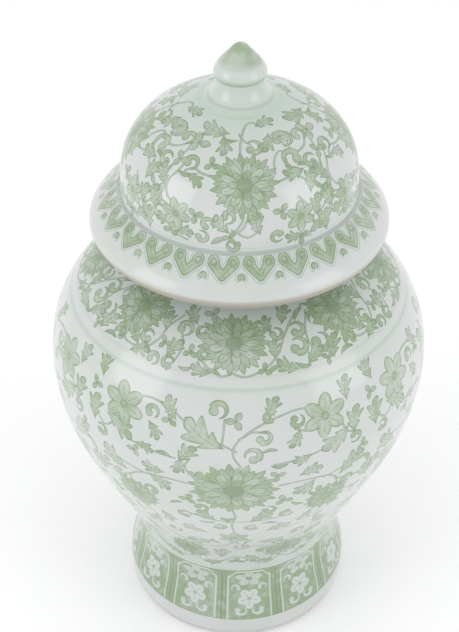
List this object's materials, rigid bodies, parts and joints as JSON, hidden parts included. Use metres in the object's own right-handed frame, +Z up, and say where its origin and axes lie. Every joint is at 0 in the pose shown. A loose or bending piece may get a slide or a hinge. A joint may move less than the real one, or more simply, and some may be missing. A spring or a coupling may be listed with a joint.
{
  "type": "ginger jar",
  "caption": "Tall lidded porcelain jar on a flared foot, with a domed lift-off lid and bud finial, painted with pale green flower scrolls.",
  "frame": {"origin": "on the jar's axis, in the plane that the foot stands on", "axes": "+Z up along the jar's axis; +X and +Y are any two directions across it, with the painting's main flower towards -Y"},
  "size_m": [0.2618, 0.2618, 0.4574],
  "materials": {
    "painted_glaze": "clear gloss glaze over pale green underglaze painting on white porcelain",
    "white_glaze": "clear gloss glaze on plain white porcelain",
    "biscuit": "bare fired porcelain, matt and slightly warm"
  },
  "bodies": {
    "jar": {"foot_skirt": "painted_glaze", "base_disc": "white_glaze", "lower_body": "painted_glaze", "upper_body": "painted_glaze", "neck_collar": "white_glaze"},
    "lid": {"lid_flange": "painted_glaze", "lid_dome": "painted_glaze", "lid_locating_ring": "biscuit", "finial_base": "white_glaze", "finial_bud": "painted_glaze"}
  },
  "joints": [
    {"name": "lid_lift", "type": "slide", "parent": "jar", "child": "lid", "axis": [0, 0, 1], "range_m": [0, 0.15]}
  ]
}
